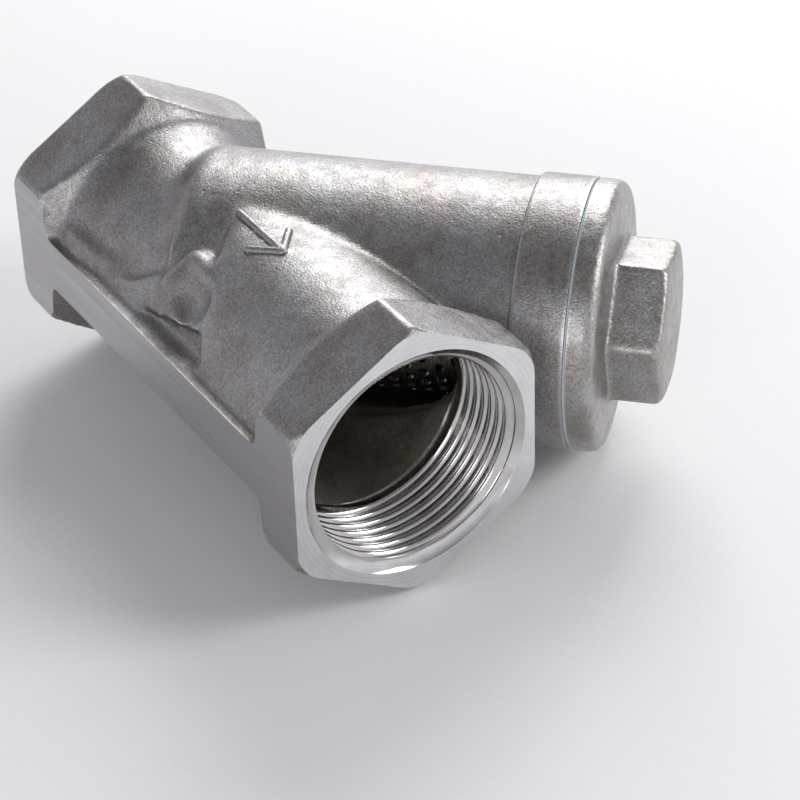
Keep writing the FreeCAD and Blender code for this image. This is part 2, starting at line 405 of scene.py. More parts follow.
def finish_off(piece: Piece, name: str, body: str, node: str) -> None:
    """Smooth a piece's shading between its edges and tell the frame what it is.

    Args:
        piece: the finished mesh.
        name: the piece's name.
        body: the body that it moves with.
        node: the CAD node that it shows.
    """
    take_up(piece)
    bpy.ops.object.shade_smooth_by_angle(angle=SMOOTH_BELOW)
    crisp_between_finishes(piece)
    piece.name = name
    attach(piece, body)
    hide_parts(node)
    log.info("%s: %d faces, %d finishes", name, len(piece.data.polygons), len(piece.data.materials))


@dataclass(frozen=True)
class ScrewThread:
    """A helical thread with rounded crests and roots, as the solid that a female thread is cut with.

    Radii, pitch and length are in millimetres. The thread fades out over its last pitch.
    """

    crest: float
    root: float
    pitch: float
    length: float
    steps: int = 8
    turns_sides: int = 84

    def radius(self, share: float, fade: float) -> float:
        """The thread's radius at a share of its pitch.

        Args:
            share: the place within one pitch, from 0 to 1.
            fade: 1 for the full thread, 0 where it has run out.

        Returns:
            The radius in millimetres.
        """
        flank = abs(2.0 * share - 1.0)
        height = min(max((flank - 0.14) / 0.72, 0.0), 1.0)
        soft = 0.35 * height + 0.65 * height * height * (3.0 - 2.0 * height)
        return self.crest + (self.root - self.crest) * (1.0 - soft) * fade

    def solid(self, matrix: Matrix) -> Piece:
        """Roll a long narrow grid up into the thread and close both of its ends.

        Args:
            matrix: where it goes; the thread runs along +Z.

        Returns:
            The closed solid.
        """
        rest_selection()
        turns = self.length / self.pitch
        around = int(round(turns * self.turns_sides))
        bpy.ops.mesh.primitive_grid_add(x_subdivisions=around, y_subdivisions=self.steps, size=2.0)
        piece = bpy.context.object
        for vertex in piece.data.vertices:
            way = (vertex.co.x + 1.0) / 2.0
            share = (vertex.co.y + 1.0) / 2.0
            angle = way * around / self.turns_sides * 2.0 * math.pi
            height = self.pitch * (angle / (2.0 * math.pi) + share)
            fade = ease(0.0, self.pitch * 1.2, height)
            radius = self.radius(share, fade)
            vertex.co = Vector((math.cos(angle) * radius, math.sin(angle) * radius, height)) * MM
        start_edit()
        bpy.ops.mesh.remove_doubles(threshold=WELD)
        bpy.ops.mesh.select_all(action="DESELECT")
        bpy.ops.mesh.select_non_manifold()
        bpy.ops.mesh.fill_holes(sides=0)
        end_edit()
        return set_place(piece, matrix)


# ---------------------------------------------------------------- finishes


def linear(code: str) -> tuple[float, float, float, float]:
    """Turn an sRGB hex colour into linear light.

    Args:
        code: six hexadecimal digits.

    Returns:
        Red, green, blue and an alpha of 1.
    """
    shares = [int(code[place:place + 2], 16) / 255.0 for place in (0, 2, 4)]
    red, green, blue = [share / 12.92 if share <= 0.04045 else ((share + 0.055) / 1.055) ** 2.4 for share in shares]
    return red, green, blue, 1.0


def per(size: float) -> float:
    """The scale of a pattern whose features are this many millimetres wide."""
    return 1.0 / (size * MM)


def feed(tree: Tree, node: bpy.types.Node, inputs: dict[object, object]) -> None:
    """Give a node's inputs their constants and their links.

    Args:
        tree: the node's tree.
        node: the node.
        inputs: a constant or an output of another node for each input, by name or number.
    """
    for key, value in inputs.items():
        if isinstance(value, Socket):
            tree.links.new(value, node.inputs[key])
        else:
            node.inputs[key].default_value = value


def add_node(tree: Tree, kind: str, inputs: dict[object, object] | None = None,
             **settings: object) -> bpy.types.Node:
    """Add a node with its settings, its constants and its links.

    Args:
        tree: the material's tree.
        kind: the node's type, without its common prefix.
        inputs: a constant or an output of another node for each input, by name or number.
        **settings: the node's own properties.

    Returns:
        The node.
    """
    node = tree.nodes.new("ShaderNode" + kind)
    for name, value in settings.items():
        setattr(node, name, value)
    feed(tree, node, inputs or {})
    return node


@dataclass(frozen=True)
class Finish:
    """What every finish has: its name and the constants of its shader."""

    name: str
    metallic: float = 1.0

    def material(self) -> bpy.types.Material:
        """The finish's material, made when it is first asked for.

        Returns:
            The material.
        """
        made = bpy.data.materials.get(self.name)
        if made is None:
            made = bpy.data.materials.new(self.name)
            made.use_nodes = True
            tree = made.node_tree
            place = add_node(tree, "TexCoord").outputs["Object"]
            feed(tree, tree.nodes["Principled BSDF"], {"Metallic": self.metallic, **self.dress(tree, place)})
        return made

    def dress(self, tree: Tree, place: Socket) -> dict[str, object]:
        """Add the finish's own nodes.

        Args:
            tree: the material's tree.
            place: the object's coordinates.

        Returns:
            The shader's inputs.
        """
        raise NotImplementedError

    def apply(self, piece: Piece) -> Piece:
        """Give a whole piece this finish and no other.

        Args:
            piece: the object.

        Returns:
            The same object.
        """
        piece.data.materials.clear()
        piece.data.materials.append(self.material())
        return piece


@dataclass(frozen=True)
class BlastedCasting(Finish):
    """CF8M stainless steel, investment cast, bead blasted and pickled.

    The blasting leaves a fine satin grain that scatters the light, the pickling leaves warm and cool
    clouds, and handling has polished the edges glossier. The lighter colour of the convex edges is a
    painted highlight that also stands for wear, and concave creases are darkened with painted shade.
    """

    tone: str = "a19fa0"
    cloud: str = "938e8a"
    # the light tone mixed onto convex edges: a painted highlight that also stands for edge wear
    worn: str = "d6d3d0"
    smooth: float = 0.36
    rough: float = 0.52
    grain: float = 0.42
    grain_depth: float = 0.085
    cloud_size: float = 11.0
    # how far convex edges are lightened by the painted highlight and wear
    wear: float = 1.0

    def dress(self, tree: Tree, place: Socket) -> dict[str, object]:
        """Mix the clouds, the blasted grain, the pits, the painted highlight and wear of the edges and the painted
        shade of the creases.

        Args:
            tree: the material's tree.
            place: the object's coordinates.

        Returns:
            The shader's inputs.
        """
        cloud = add_node(tree, "TexNoise", {"Vector": place, "Scale": per(self.cloud_size), "Detail": 4.0,
                                            "Roughness": 0.62})
        clouded = add_node(tree, "MapRange", {0: cloud.outputs["Fac"], 1: 0.38, 2: 0.66},
                           interpolation_type="SMOOTHSTEP")
        grain = add_node(tree, "TexNoise", {"Vector": place, "Scale": per(self.grain), "Detail": 3.0,
                                            "Roughness": 0.55})
        peen = add_node(tree, "TexNoise", {"Vector": place, "Scale": per(2.3), "Detail": 2.0})
        pits = add_node(tree, "TexVoronoi", {"Vector": place, "Scale": per(2.6), "Randomness": 1.0})
        pit = add_node(tree, "MapRange", {0: pits.outputs["Distance"], 1: 0.05, 2: 0.16})
        tone = add_node(tree, "Mix", {0: clouded.outputs[0], 6: linear(self.tone), 7: linear(self.cloud)},
                        data_type="RGBA")
        fleck = add_node(tree, "MapRange", {0: grain.outputs["Fac"], 1: 0.3, 2: 0.7, 3: 0.66, 4: 1.24})
        flecked = add_node(tree, "VectorMath", {0: tone.outputs[2], 3: fleck.outputs[0]}, operation="SCALE")
        edge = add_node(tree, "NewGeometry")
        # convex edges, found by pointiness, are lightened towards the light tone: a painted highlight that also stands
        # for wear; they are also made glossier
        rim = add_node(tree, "MapRange", {0: edge.outputs["Pointiness"], 1: 0.512, 2: 0.58, 4: 0.8 * self.wear},
                       interpolation_type="SMOOTHSTEP")
        rubbed = add_node(tree, "Mix", {0: rim.outputs[0], 6: flecked.outputs[0], 7: linear(self.worn)},
                          data_type="RGBA")
        # concave creases, found by pointiness, are darkened down to 0.72 of their colour: painted shade
        crease = add_node(tree, "MapRange", {0: edge.outputs["Pointiness"], 1: 0.44, 2: 0.49, 3: 0.72, 4: 1.0})
        shaded = add_node(tree, "VectorMath", {0: rubbed.outputs[2], 3: crease.outputs[0]}, operation="SCALE")
        gloss = add_node(tree, "MapRange", {0: peen.outputs["Fac"], 1: 0.3, 2: 0.7, 3: self.smooth, 4: self.rough})
        polished = add_node(tree, "Math", {0: rim.outputs[0], 1: -0.14, 2: gloss.outputs[0]}, operation="MULTIPLY_ADD")
        relief = add_node(tree, "Math", {0: peen.outputs["Fac"], 1: 1.1, 2: grain.outputs["Fac"]},
                          operation="MULTIPLY_ADD")
        pitted = add_node(tree, "Math", {0: pit.outputs[0], 1: 0.5, 2: relief.outputs[0]}, operation="MULTIPLY_ADD")
        bump = add_node(tree, "Bump", {"Height": pitted.outputs[0], "Distance": self.grain_depth * MM,
                                       "Strength": 1.0})
        return {"Base Color": shaded.outputs[0], "Roughness": polished.outputs[0], "Normal": bump.outputs[0]}


@dataclass(frozen=True)
class TurnedFace(Finish):
    """Stainless steel faced on a lathe.

    The tool leaves fine rings around the axis, which break the reflection into bright arcs.
    """

    tone: str = "e9e8eb"
    stain: str = "cfcdcf"
    axis: tuple[float, float, float] = (1.0, 0.0, 0.0)
    centre: tuple[float, float, float] = (0.0, 0.0, 0.0)
    feed: float = 0.42
    depth: float = 0.010
    roughness: tuple[float, float] = (0.24, 0.40)

    def dress(self, tree: Tree, place: Socket) -> dict[str, object]:
        """Draw the rings of the tool from the distance to the axis.

        Args:
            tree: the material's tree.
            place: the object's coordinates.

        Returns:
            The shader's inputs.
        """
        arm = add_node(tree, "VectorMath", {0: place, 1: [-value * MM for value in self.centre]}, operation="ADD")
        swept = add_node(tree, "VectorMath", {0: arm.outputs[0], 1: self.axis}, operation="CROSS_PRODUCT")
        radius = add_node(tree, "VectorMath", {0: swept.outputs[0]}, operation="LENGTH")
        ring = add_node(tree, "CombineXYZ", {0: radius.outputs["Value"]})
        lines = add_node(tree, "TexNoise", {"Vector": ring.outputs[0], "Scale": per(self.feed), "Detail": 3.0,
                                            "Roughness": 0.7})
        smear = add_node(tree, "TexNoise", {"Vector": place, "Scale": per(5.0), "Detail": 3.0})
        tone = add_node(tree, "Mix", {0: smear.outputs["Fac"], 6: linear(self.tone), 7: linear(self.stain)},
                        data_type="RGBA")
        cut = add_node(tree, "MapRange", {0: lines.outputs["Fac"], 1: 0.3, 2: 0.7, 3: 0.86, 4: 1.06})
        shade = add_node(tree, "VectorMath", {0: tone.outputs[2], 3: cut.outputs[0]}, operation="SCALE")
        gloss = add_node(tree, "MapRange", {0: lines.outputs["Fac"], 1: 0.3, 2: 0.7, 3: self.roughness[0],
                                            4: self.roughness[1]})
        bump = add_node(tree, "Bump", {"Height": lines.outputs["Fac"], "Distance": self.depth * MM})
        return {"Base Color": shade.outputs[0], "Roughness": gloss.outputs[0], "Normal": bump.outputs[0]}


@dataclass(frozen=True)
class CutThread(TurnedFace):
    """A thread cut with a single point in stainless steel.

    The flanks are the brightest surface of the part, with scratches that follow the helix.
    """

    tone: str = "e6e5e5"
    stain: str = "bab6b2"
    feed: float = 0.16
    depth: float = 0.006
    roughness: tuple[float, float] = (0.08, 0.20)


@dataclass(frozen=True)
class LinishedFlat(Finish):
    """Stainless steel ground flat on an abrasive belt.

    The grit leaves long straight scratches along the run; they are drawn coarser than real ones, to show.
    """

    tone: str = "b9b7ba"
    stain: str = "aaa7a8"
    length: float = 16.0
    scratch: float = 0.22
    depth: float = 0.010

    def dress(self, tree: Tree, place: Socket) -> dict[str, object]:
        """Stretch two noises along the run for the scratches.

        Args:
            tree: the material's tree.
            place: the object's coordinates.

        Returns:
            The shader's inputs.
        """
        fine = add_node(tree, "Mapping", {"Vector": place, "Scale": (per(self.length), per(self.scratch),
                                                                     per(self.scratch))})
        wide = add_node(tree, "Mapping", {"Vector": place, "Scale": (per(40.0), per(1.6), per(1.6))})
        lines = add_node(tree, "TexNoise", {"Vector": fine.outputs[0], "Scale": 1.0, "Detail": 3.0})
        bands = add_node(tree, "TexNoise", {"Vector": wide.outputs[0], "Scale": 1.0, "Detail": 2.0})
        level = add_node(tree, "Math", {0: bands.outputs["Fac"], 1: 0.7, 2: lines.outputs["Fac"]},
                         operation="MULTIPLY_ADD")
        share = add_node(tree, "MapRange", {0: level.outputs[0], 1: 0.6, 2: 1.1})
        tone = add_node(tree, "Mix", {0: share.outputs[0], 6: linear(self.stain), 7: linear(self.tone)},
                        data_type="RGBA")
        gloss = add_node(tree, "MapRange", {0: level.outputs[0], 1: 0.6, 2: 1.1, 3: 0.42, 4: 0.26})
        bump = add_node(tree, "Bump", {"Height": level.outputs[0], "Distance": self.depth * MM})
        return {"Base Color": tone.outputs[2], "Roughness": gloss.outputs[0], "Normal": bump.outputs[0]}


@dataclass(frozen=True)
class RolledSheet(Finish):
    """Cold-rolled stainless sheet, punched and left bright.

    Rolling leaves faint lines round the tube and the punch leaves bright lips.
    """

    tone: str = "c9c9c7"
    stain: str = "96938d"
    line: float = 0.25

    def dress(self, tree: Tree, place: Socket) -> dict[str, object]:
        """Draw the rolling lines across the tube's axis and the smears of handling.

        Args:
            tree: the material's tree.
            place: the object's coordinates.

        Returns:
            The shader's inputs.
        """
        along = add_node(tree, "VectorMath", {0: place, 1: BRANCH.direction}, operation="DOT_PRODUCT")
        band = add_node(tree, "CombineXYZ", {0: along.outputs["Value"]})
        lines = add_node(tree, "TexNoise", {"Vector": band.outputs[0], "Scale": per(self.line), "Detail": 2.0})
        smear = add_node(tree, "TexNoise", {"Vector": place, "Scale": per(6.0), "Detail": 3.0})
        tone = add_node(tree, "Mix", {0: smear.outputs["Fac"], 6: linear(self.tone), 7: linear(self.stain)},
                        data_type="RGBA")
        gloss = add_node(tree, "MapRange", {0: lines.outputs["Fac"], 1: 0.3, 2: 0.7, 3: 0.20, 4: 0.36})
        bump = add_node(tree, "Bump", {"Height": lines.outputs["Fac"], "Distance": 0.006 * MM})
        return {"Base Color": tone.outputs[2], "Roughness": gloss.outputs[0], "Normal": bump.outputs[0]}


@dataclass(frozen=True)
class PressedPtfe(Finish):
    """PTFE, skived from a pressed billet: a waxy, faintly translucent bluish white."""

    metallic: float = 0.0
    tone: str = "e4eaef"
    smudge: str = "c3ccd4"

    def dress(self, tree: Tree, place: Socket) -> dict[str, object]:
        """Add the smudges of handling and a waxy unevenness.

        Args:
            tree: the material's tree.
            place: the object's coordinates.

        Returns:
            The shader's inputs.
        """
        smudge = add_node(tree, "TexNoise", {"Vector": place, "Scale": per(4.0), "Detail": 4.0})
        tone = add_node(tree, "Mix", {0: smudge.outputs["Fac"], 6: linear(self.tone), 7: linear(self.smudge)},
                        data_type="RGBA")
        gloss = add_node(tree, "MapRange", {0: smudge.outputs["Fac"], 1: 0.3, 2: 0.7, 3: 0.38, 4: 0.52})
        wax = add_node(tree, "TexNoise", {"Vector": place, "Scale": per(0.7), "Detail": 1.0})
        bump = add_node(tree, "Bump", {"Height": wax.outputs["Fac"], "Distance": 0.015 * MM})
        return {"Base Color": tone.outputs[2], "Roughness": gloss.outputs[0], "Normal": bump.outputs[0],
                "Subsurface Weight": 0.15, "Subsurface Scale": 0.4 * MM}


@dataclass(frozen=True)
class PaperSweep(Finish):
    """Matt white background paper, with the faint tooth of its fibres."""

    metallic: float = 0.0
    tone: str = "f6f6f6"
    tooth: str = "f0f0f0"

    def dress(self, tree: Tree, place: Socket) -> dict[str, object]:
        """Mix two whites over the paper's tooth.

        Args:
            tree: the material's tree.
            place: the object's coordinates.

        Returns:
            The shader's inputs.
        """
        tooth = add_node(tree, "TexNoise", {"Vector": place, "Scale": per(1.2), "Detail": 3.0})
        tone = add_node(tree, "Mix", {0: tooth.outputs["Fac"], 6: linear(self.tone), 7: linear(self.tooth)},
                        data_type="RGBA")
        return {"Base Color": tone.outputs[2], "Roughness": 0.9, "Specular IOR Level": 0.1}


CAST_SKIN = BlastedCasting("blasted_cast_stainless")
CAST_CAP = BlastedCasting("blasted_cast_cap", tone="adabaa", cloud="9d9892", smooth=0.32, rough=0.50)
CAST_HOLLOW = BlastedCasting("as_cast_hollow", tone="a0978b", cloud="80766a", worn="b0a89e", smooth=0.50,
                             rough=0.70, metallic=0.75, wear=0.4)
RUN_FACE = TurnedFace("turned_run_face")
BOSS_FACE = TurnedFace("turned_boss_face", axis=BRANCH.direction, centre=BRANCH.origin)
RUN_THREAD = CutThread("cut_pipe_thread")
CAP_THREAD = CutThread("cut_cap_thread", axis=BRANCH.direction, centre=BRANCH.origin)
GROUND_FLAT = LinishedFlat("linished_flat")
SCREEN_SHEET = RolledSheet("punched_rolled_sheet")
PTFE = PressedPtfe("pressed_ptfe")
PAPER = PaperSweep("background_paper")


# ---------------------------------------------------------------- the pieces


@dataclass
class BodyCasting:
    """The investment-cast body: two hexagonal ends in line, the branch, its boss and the ground rib."""

    length: float = 105.0
    flats: float = 48.0
    inlet_hex: float = 13.0
    outlet_hex: float = 13.4
    face_radius: float = 26.4
    hex_trim: float = 1.5
    inlet_neck: float = 20.8
    waist: float = 20.0
    shoulder: float = 1.6
    ground_stock: float = 1.8
    outlet_neck: float = 22.0
    root: float = 22.4
    branch: float = 24.2
    branch_back: float = -5.0
    partition: float = 8.3
    boss: float = 25.0
    boss_start: float = 60.2
    boss_face: float = 70.2
    rib_width: float = 10.5
    pad_half: float = 11.8
    skirt_limits: tuple[tuple[float, float, float], ...] = ((8.0, -26.0, -8.6), (45.0, -14.0, 8.6))
    knee_limits: tuple[tuple[float, float, float], ...] = ((38.0, -21.0, -17.5), (60.0, -9.5, 17.5))
    scoop_radius: float = 7.5
    scoop_centre: tuple[float, float, float] = (58.0, -21.5, 16.9)
    tongue_outline: Profile = ((31.0, -3.9), (68.0, 5.5), (66.0, 11.8), (50.0, 9.9), (40.0, 2.9), (31.0, -0.6))
    tongue_lean: float = 18.0
    tongue_foot: float = 12.0
    tongue_depth: float = 14.0
    knuckle_radius: float = 2.6
    knuckle_line: tuple[tuple[float, float, float], ...] = (
        (50.0, -16.6, 12.3), (51.4, -11.9, 16.3), (57.6, -12.1, 16.2))
    pocket_profile: Profile = ((16.5, 11.0), (16.5, 22.0), (15.4, 28.0), (15.4, 52.0))
    seat_profile: Profile = ((15.6, -9.0), (15.6, 3.0))
    chamber_profile: Profile = ((21.0, 1.0), (21.0, 57.5))
    passage_profile: Profile = ((18.2, 50.0), (19.2, 93.0))
    recess_profile: Profile = ((17.25, -1.5), (17.25, 4.0))
    arrow_start: float = 49.5
    arrow_end: float = 65.0
    arrow_offset: float = -2.0
    arrow_reach: float = 4.2
    arrow_stroke: float = 0.8
    allowance: float = 0.8
    pipe_thread: ScrewThread = ScrewThread(19.48, 20.955, 2.309, 20.2)
    cap_thread: ScrewThread = ScrewThread(20.95, 22.05, 2.0, 14.0)

    def build(self) -> None:
        """Cast the body, machine it and cut its threads."""
        skin = CAST_SKIN.apply(cast(gather("body_casting", self.stock()), grain=0.68, rounding=5, blend=19,
                                    rule=self.large_radii))
        combine(skin, self.arrow(), Join.ADD)
        combine(skin, self.collar(), Join.ADD)
        self.machine(skin)
        combine(skin, self.core(), Join.TAKE)
        for tool in self.thread_tools():
            combine(skin, tool, Join.TAKE)
        finish_off(skin, "body_casting", "body", "strainer_body")

    def large_radii(self, point: Vector) -> float:
        """Where the casting has large radii: its necks and the crease of the branch.

        Args:
            point: a point of the skin, in metres.

        Returns:
            The share of the extra smoothing.
        """
        x, y, z = point / MM
        along, _ = BRANCH.measure(point)
        between = ease(self.inlet_hex + 1.0, self.inlet_hex + 4.0, x)
        before = ease(self.boss_start + 4.0, self.boss_start - 1.0, along)
        outlet = self.length - self.outlet_hex
        hexagon = max(ease(outlet - 1.0, outlet - 4.0, x), ease(24.5, 27.0, y))
        bump = 1.0 - 0.6 * ease(-9.0, -13.0, y) * ease(38.0, 43.0, x) * ease(72.0, 67.0, x)
        rib = ease(-22.6, -20.6, y)
        return between * before * hexagon * bump * rib

    def hexagon(self, start: float, width: float, face_low: bool) -> Piece:
        """One hexagonal end with its corners trimmed, a little long on the side of its machined face.

        Args:
            start: where it begins along the run.
            width: its width.
            face_low: whether its machined face is its lower one.

        Returns:
            The solid.
        """
        corner = self.flats / math.sqrt(3.0)
        rim = corner + 0.2
        face = self.face_radius - self.allowance
        if face_low:
            ends = (start - self.allowance, start + width + self.shoulder)
            steps = [(face, ends[0]), (rim, start + self.hex_trim), (rim, start + width - 2.4), (self.root, ends[1])]
        else:
            ends = (start - self.shoulder, start + width + self.allowance)
            steps = [(self.root, ends[0]), (rim, start + 2.4), (rim, start + width - self.hex_trim), (face, ends[1])]
        bar = turned([(corner, ends[0]), (corner, ends[1])], RUN.matrix(0.0), 6)
        return combine(bar, turned(steps, RUN.matrix(0.0)), Join.SHARE)

    def stock(self) -> list[Piece]:
        """The overlapping solids that the casting's skin is melted from.

        Returns:
            The solids.
        """
        outlet = self.length - self.outlet_hex
        ground = -self.flats / 2 - self.ground_stock
        pads = [block((start, ground, -self.pad_half), (end, -18.0, self.pad_half))
                for start, end in ((0.8, self.inlet_hex - 1.2), (outlet + 1.2, self.length - 0.8))]
        inlet = turned([(self.root, self.inlet_hex - 2.0), (self.root, self.inlet_hex + self.shoulder),
                        (self.inlet_neck, self.inlet_hex + 7.0), (self.waist, self.inlet_hex + 22.0),
                        (self.waist, 70.0)], RUN.matrix(0.0))
        skirt = combine(turned([(self.root + 0.5, self.inlet_hex - 2.0), (self.root + 0.2, 25.0), (20.2, 37.0)],
                               RUN.matrix(0.0)), block(*self.skirt_limits), Join.SHARE)
        tube = turned([(self.outlet_neck, 30.0), (self.root, outlet - self.shoulder), (self.root, outlet + 2.0)],
                      RUN.matrix(0.0))
        combine(tube, self.behind_branch(self.partition), Join.TAKE)
        branch = turned([(12.0, self.branch_back - 9.0), (self.branch, self.branch_back + 4.0),
                         (self.branch, self.boss_face + self.allowance)], BRANCH.matrix(0.0))
        knee = combine(turned([(self.branch, -2.5), (self.branch, 9.0)], BRANCH.matrix(0.0)),
                       block(*self.knee_limits), Join.SHARE)
        rib = block((self.inlet_hex / 2, ground, -self.rib_width / 2),
                    (self.length - self.outlet_hex / 2, -self.flats / 2 + 9.0, self.rib_width / 2))
        for way in BOTH_SIDES:
            combine(tube, self.scoop(way), Join.TAKE)
        tongues = [combine(self.tongue(way), self.scoop(way), Join.TAKE) for way in BOTH_SIDES]
        knuckles = [bar for way in BOTH_SIDES for bar in self.knuckle(way)]
        return [self.hexagon(0.0, self.inlet_hex, True), self.hexagon(outlet, self.outlet_hex, False), *pads,
                inlet, skirt, tube, branch, knee, rib, *tongues, *knuckles]

    def behind_branch(self, height: float, sides: int = 128) -> Piece:
        """All that lies before one cross-section of the branch, as a cutter.

        Args:
            height: where the cross-section is, along the branch.
            sides: the number of the cutter's sides.

        Returns:
            The solid.
        """
        return turned([(WIDE, -80.0), (WIDE, height)], BRANCH.matrix(0.0), sides)

    def scoop(self, way: float) -> Piece:
        """The ball that hollows the tube between its own edge and the back of the branch.

        Args:
            way: 1 for the one over the rib and -1 for the one under it.

        Returns:
            The ball.
        """
        rest_selection()
        bpy.ops.mesh.primitive_uv_sphere_add(segments=48, ring_count=24, radius=self.scoop_radius * MM)
        x, y, z = self.scoop_centre
        return set_place(bpy.context.object, Matrix.Translation(Vector((x, y, way * z)) * MM))

    def knuckle(self, way: float) -> list[Piece]:
        """The bent ridge that stands round the upper side of the scoop.

        Args:
            way: 1 for the one over the rib and -1 for the one under it.

        Returns:
            Its two bars.
        """
        knots = [Vector((x, y, way * z)) for x, y, z in self.knuckle_line]
        return [round_bar(foot, head, self.knuckle_radius) for foot, head in zip(knots, knots[1:])]

    def tongue(self, way: float) -> Piece:
        """The tongue that the outlet's tube sends along the rib, beside its deep crease.

        Args:
            way: 1 for the one over the rib and -1 for the one under it.

        Returns:
            The solid.
        """
        outline = self.tongue_outline if way > 0.0 else [(x, -y) for x, y in reversed(self.tongue_outline)]
        lean = Matrix.Rotation(math.radians(90.0 - self.tongue_lean * way), 4, "X")
        wedge = prism(outline, self.tongue_depth, lean @ Matrix.Translation((0.0, 0.0, self.tongue_foot * MM)))
        skin = turned([(self.outlet_neck, 30.0), (self.outlet_neck, 70.0)], RUN.matrix(0.0))
        return combine(skin, wedge, Join.SHARE)

    def arrow(self) -> Piece:
        """The plain raised arrow that shows the way of the flow.

        Returns:
            The solid, which reaches down into the neck.
        """
        radius = self.outlet_neck + 0.25
        tip = (self.arrow_end, self.arrow_offset)
        back = self.arrow_end - 1.25 * self.arrow_reach
        strokes = [((self.arrow_start, self.arrow_offset), tip)]
        strokes += [((back, self.arrow_offset + side * self.arrow_reach), tip) for side in (1.0, -1.0)]
        bars = []
        for ends in strokes:
            foot, head = [Vector((x, y, math.sqrt(radius ** 2 - y ** 2))) for x, y in ends]
            bars.append(round_bar(foot, head, self.arrow_stroke))
        return CAST_SKIN.apply(cast(gather("arrow", bars), grain=0.2, rounding=3))

    def collar(self) -> Piece:
        """The boss, a crisp step larger than the branch.

        Returns:
            The solid, a little long on the side of its machined face.
        """
        start = self.boss_start
        rings = [(self.boss, start + rise) for rise in (0.3, 0.9, 2.0, 3.5, 5.0, 6.5, 8.0, 9.2)]
        return CAST_SKIN.apply(turned([(self.branch - 1.2, start), (self.boss - 0.3, start), *rings,
                                       (self.boss, self.boss_face + self.allowance)], BRANCH.matrix(0.0), 160))

    def machine(self, skin: Piece) -> None:
        """Face both ends and the boss, and grind the rib flush with the hexagons' flats.

        Args:
            skin: the casting.
        """
        boss = Vector(BRANCH.origin) + Vector(BRANCH.direction) * self.boss_face
        face_off(skin, (0.0, 0.0, 0.0), (-1.0, 0.0, 0.0), RUN_FACE.material())
        face_off(skin, (self.length, 0.0, 0.0), (1.0, 0.0, 0.0), RUN_FACE.material())
        face_off(skin, (0.0, -self.flats / 2, 0.0), (0.0, -1.0, 0.0), GROUND_FLAT.material())
        face_off(skin, boss, BRANCH.direction, BOSS_FACE.material())

    def core(self) -> Piece:
        """The cast hollows: the inlet's pocket, the seat, the chamber and the outlet's passage.

        Returns:
            The solid that is taken out of the casting.
        """
        pocket = turned(self.pocket_profile, RUN.matrix(0.0), 96)
        combine(pocket, self.behind_branch(-4.0, 64), Join.SHARE)
        seat = turned(self.seat_profile, BRANCH.matrix(0.0), 96)
        chamber = turned(self.chamber_profile, BRANCH.matrix(0.0), 96)
        passage = turned(self.passage_profile, RUN.matrix(0.0), 96)
        port = combine(turned([(23.0, 30.0), (23.0, 52.0)], BRANCH.matrix(0.0), 96),
                       turned([(20.4, 40.0), (20.4, 90.0)], RUN.matrix(0.0), 96), Join.SHARE)
        core = gather("core", [pocket, seat, chamber, passage, port])
        return CAST_HOLLOW.apply(cast(core, grain=0.9, rounding=4, thinning=0.7))

    def thread_tools(self) -> list[Piece]:
        """The cutters for the threads, their bores and chamfers and the recess that holds the screen.

        Returns:
            The solids, in the order in which they cut.
        """
        outlet = Axis((self.length, 0.0, 0.0), (-1.0, 0.0, 0.0))
        deep = self.pipe_thread.length - 2.0
        boss = self.boss_face
        crest = self.pipe_thread.crest - 0.01
        tools = []
        for end, way in ((RUN, -1.0), (outlet, 1.0)):
            start = end.matrix(deep) @ Matrix.Rotation(math.pi, 4, "X")
            tools.append(RUN_THREAD.apply(turned([(14.0, deep + 2.0), (18.9, deep + 0.6), (crest, deep - 0.4),
                                                  (crest, -1.0)], end.matrix(0.0))))
            tools.append(RUN_THREAD.apply(self.pipe_thread.solid(start)))
            tools.append(RUN_THREAD.apply(turned([(20.7, 1.3), (22.0, 0.0), (24.0, -2.0)], end.matrix(0.0))))
        tools.append(CAP_THREAD.apply(self.cap_thread.solid(BRANCH.matrix(boss - 13.0))))
        tools.append(CAP_THREAD.apply(turned([(21.4, boss - 14.8), (21.4, boss - 11.8), (20.94, boss - 11.4),
                                              (20.94, boss - 1.2), (22.25, boss + 0.1)], BRANCH.matrix(0.0))))
        tools.append(CAP_THREAD.apply(turned(self.recess_profile, BRANCH.matrix(0.0), 96)))
        return tools


